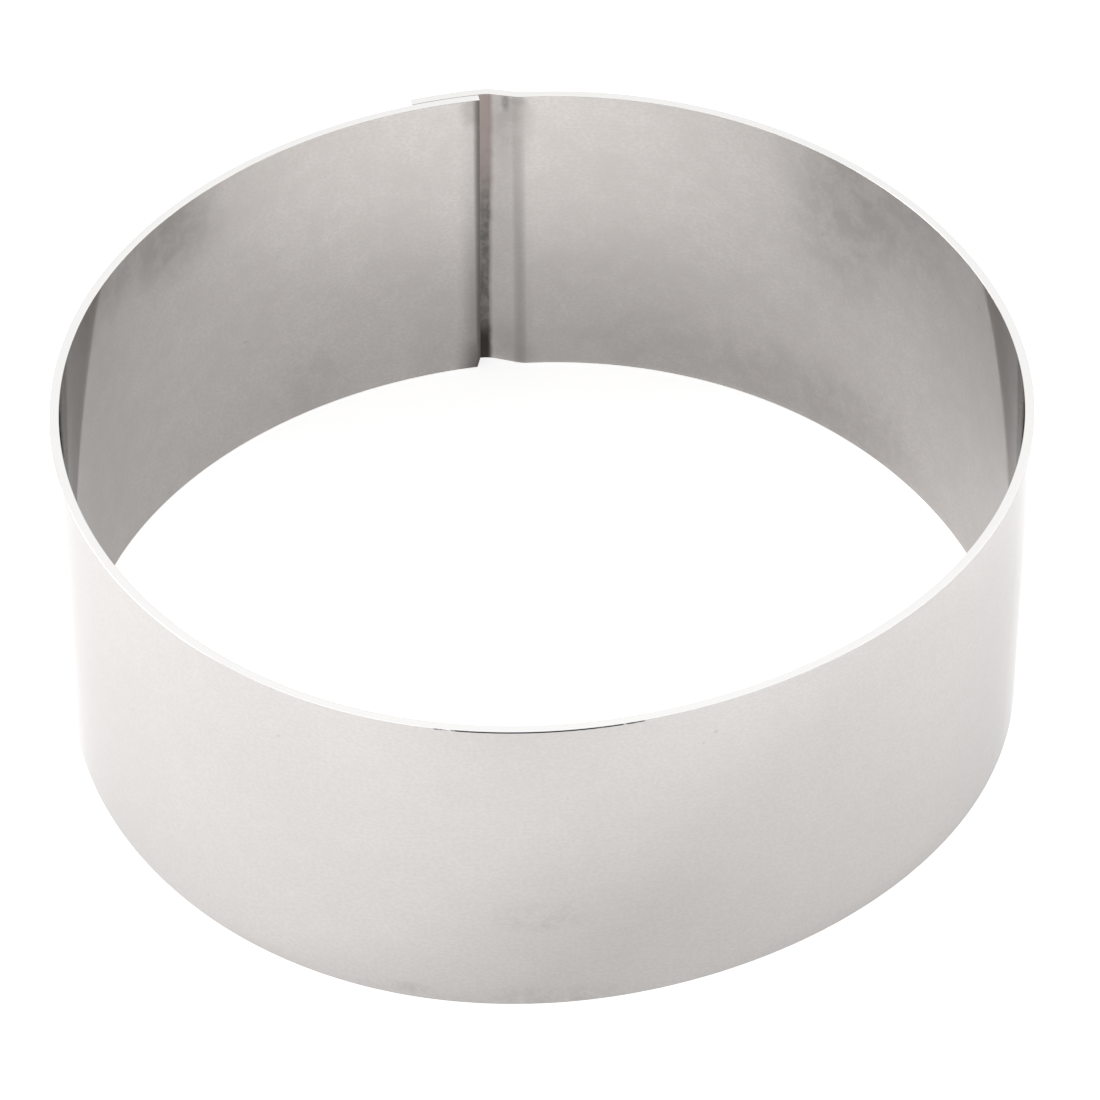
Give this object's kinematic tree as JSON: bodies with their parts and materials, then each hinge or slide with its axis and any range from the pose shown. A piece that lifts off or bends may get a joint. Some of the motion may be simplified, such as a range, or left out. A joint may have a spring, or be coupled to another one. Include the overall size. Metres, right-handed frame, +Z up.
{
  "type": "mousse ring",
  "caption": "Open round pastry ring rolled from a stainless strip, its joggled ends lapped and spot-welded, for moulding and cutting mousse, cakes and rice.",
  "frame": {"origin": "on the ring's axis, in the plane of the bottom rim that it stands on", "axes": "+Z up along the ring's axis, +Y from the axis to the middle of the lap seam"},
  "size_m": [0.0918, 0.0929, 0.035],
  "materials": {
    "band_steel": "satin cold-rolled stainless sheet, faintly cloudy from rolling and handling",
    "weld_steel": "remelted stainless, dull and slightly tinted by heat"
  },
  "bodies": {
    "root": {"ring_band": "band_steel", "weld_nugget_1": "weld_steel", "weld_nugget_2": "weld_steel", "weld_nugget_3": "weld_steel", "weld_nugget_4": "weld_steel", "weld_nugget_5": "weld_steel"}
  },
  "joints": []
}
